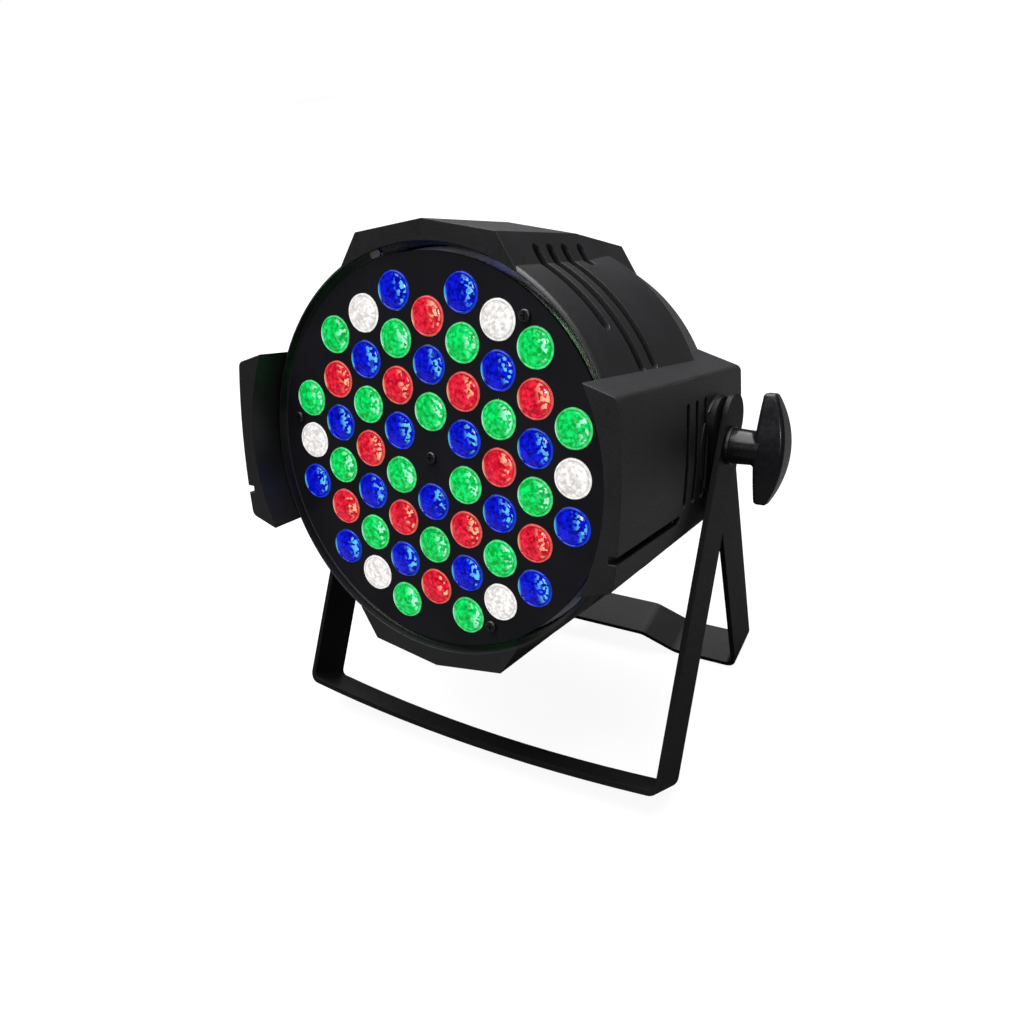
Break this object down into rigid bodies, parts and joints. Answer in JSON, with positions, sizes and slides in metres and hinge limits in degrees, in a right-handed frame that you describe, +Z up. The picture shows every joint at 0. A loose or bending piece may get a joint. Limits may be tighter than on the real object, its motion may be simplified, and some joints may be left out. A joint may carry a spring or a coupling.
{
  "type": "LED par can light",
  "caption": "LED par can with a round field of coloured lenses in a cast black head, held by a double flat-bar yoke with winged tilt knobs.",
  "frame": {"origin": "middle of the footprint on the floor, under the head", "axes": "+Z up, -Y is the way the lit front faces, +X along the tilt axis to the viewer's right of the front"},
  "size_m": [0.3116, 0.2192, 0.3062],
  "materials": {
    "body_black": "satin black paint over cast aluminium, fine texture",
    "panel_black": "satin black lens panel",
    "bar_black": "satin black powder coat on flat steel bar",
    "knob_black": "glossy moulded black plastic",
    "lens_red": "clear acrylic lens lit red",
    "lens_green": "clear acrylic lens lit green",
    "lens_blue": "clear acrylic lens lit blue",
    "lens_white": "clear acrylic lens lit white",
    "emitter": "clear dome over a light source",
    "metal_core_board": "white solder mask on aluminium",
    "green_board": "glass-fibre board with solder mask",
    "bare_aluminium": "mill finish aluminium",
    "screw_steel": "blackened steel",
    "bright_steel": "zinc-plated steel",
    "brass": "plain brass",
    "fan_plastic": "black glass-filled plastic",
    "component_dark": "moulded electronic parts",
    "capacitor_sleeve": "sleeved capacitors and taped transformer",
    "window_smoke": "smoked red display window",
    "display_face": "display module",
    "button_plastic": "black button cap",
    "socket_plastic": "black moulded socket",
    "contact_metal": "plated contacts"
  },
  "bodies": {
    "rear_yoke": {"rear_yoke": "bar_black"},
    "front_yoke": {"front_yoke": "bar_black"},
    "head": {"housing_shell": "body_black", "lens_panel": "panel_black", "led_emitters": "emitter", "led_board": "metal_core_board", "heat_sink": "bare_aluminium", "panel_standoffs": "brass", "panel_screws": "screw_steel", "board_screws": "bright_steel", "sink_screws": "bright_steel", "edge_clip": "bright_steel", "driver_posts": "brass", "driver_board": "green_board", "driver_parts": "component_dark", "driver_screws": "bright_steel", "supply_posts": "brass", "supply_board": "green_board", "supply_parts": "capacitor_sleeve", "supply_screws": "bright_steel", "control_board": "green_board", "control_posts": "brass", "button_switches": "component_dark", "display_module": "display_face", "display_window": "window_smoke", "rear_cover": "body_black", "rear_cover_screws": "screw_steel", "fan_frame": "fan_plastic", "fan_screws": "screw_steel", "xlr_in": "socket_plastic", "xlr_in_pins": "contact_metal", "xlr_out": "socket_plastic", "power_inlet": "socket_plastic", "power_inlet_pins": "contact_metal", "socket_screws": "screw_steel", "fuse_holder": "socket_plastic", "fuse_cap": "socket_plastic", "safety_eye": "bright_steel", "safety_eye_screws": "bright_steel", "lenses_red": "lens_red", "lenses_green": "lens_green", "lenses_blue": "lens_blue", "lenses_white": "lens_white", "pivot_nut_right": "brass", "pivot_nut_left": "brass"},
    "washer_right": {"washer_right": "screw_steel"},
    "knob_right": {"knob_right": "knob_black", "knob_stud_right": "bright_steel"},
    "washer_left": {"washer_left": "screw_steel"},
    "knob_left": {"knob_left": "knob_black", "knob_stud_left": "bright_steel"},
    "fan_rotor": {"fan_rotor": "fan_plastic"},
    "button_menu": {"button_menu": "button_plastic"},
    "button_down": {"button_down": "button_plastic"},
    "button_up": {"button_up": "button_plastic"},
    "button_enter": {"button_enter": "button_plastic"}
  },
  "joints": [
    {"name": "head_tilt", "type": "hinge", "parent": "rear_yoke", "child": "head", "pos_m": [0, 0.0244, 0.1636], "axis": [1, 0, 0], "range_deg": [-110, 50]},
    {"name": "front_yoke_swing", "type": "hinge", "parent": "rear_yoke", "child": "front_yoke", "pos_m": [0, 0.0244, 0.1636], "axis": [1, 0, 0], "range_deg": [-90, 43]},
    {"name": "knob_right_travel", "type": "slide", "parent": "head", "child": "washer_right", "axis": [1, 0, 0], "range_m": [0, 0.0026]},
    {"name": "knob_right_turn", "type": "hinge", "parent": "washer_right", "child": "knob_right", "pos_m": [0.1269, 0.0244, 0.1636], "axis": [1, 0, 0], "range_deg": [0, 720]},
    {"name": "knob_left_travel", "type": "slide", "parent": "head", "child": "washer_left", "axis": [-1, 0, 0], "range_m": [0, 0.0026]},
    {"name": "knob_left_turn", "type": "hinge", "parent": "washer_left", "child": "knob_left", "pos_m": [-0.1269, 0.0244, 0.1636], "axis": [-1, 0, 0], "range_deg": [0, 720]},
    {"name": "fan_spin", "type": "hinge", "parent": "head", "child": "fan_rotor", "pos_m": [0, 0.05532, 0.15198], "axis": [0, 0.9511, -0.309], "continuous": true},
    {"name": "button_menu_press", "type": "slide", "parent": "head", "child": "button_menu", "axis": [0, -0.9511, 0.309], "range_m": [0, 0.0012], "stiffness_N_per_m": 600, "springref_m": -0.0015},
    {"name": "button_down_press", "type": "slide", "parent": "head", "child": "button_down", "axis": [0, -0.9511, 0.309], "range_m": [0, 0.0012], "stiffness_N_per_m": 600, "springref_m": -0.0015},
    {"name": "button_up_press", "type": "slide", "parent": "head", "child": "button_up", "axis": [0, -0.9511, 0.309], "range_m": [0, 0.0012], "stiffness_N_per_m": 600, "springref_m": -0.0015},
    {"name": "button_enter_press", "type": "slide", "parent": "head", "child": "button_enter", "axis": [0, -0.9511, 0.309], "range_m": [0, 0.0012], "stiffness_N_per_m": 600, "springref_m": -0.0015}
  ],
  "couplings": [
    {"joint": "knob_right_travel", "follows": "knob_right_turn", "m_per_rad": 0.00019894},
    {"joint": "knob_left_travel", "follows": "knob_left_turn", "m_per_rad": 0.00019894}
  ]
}
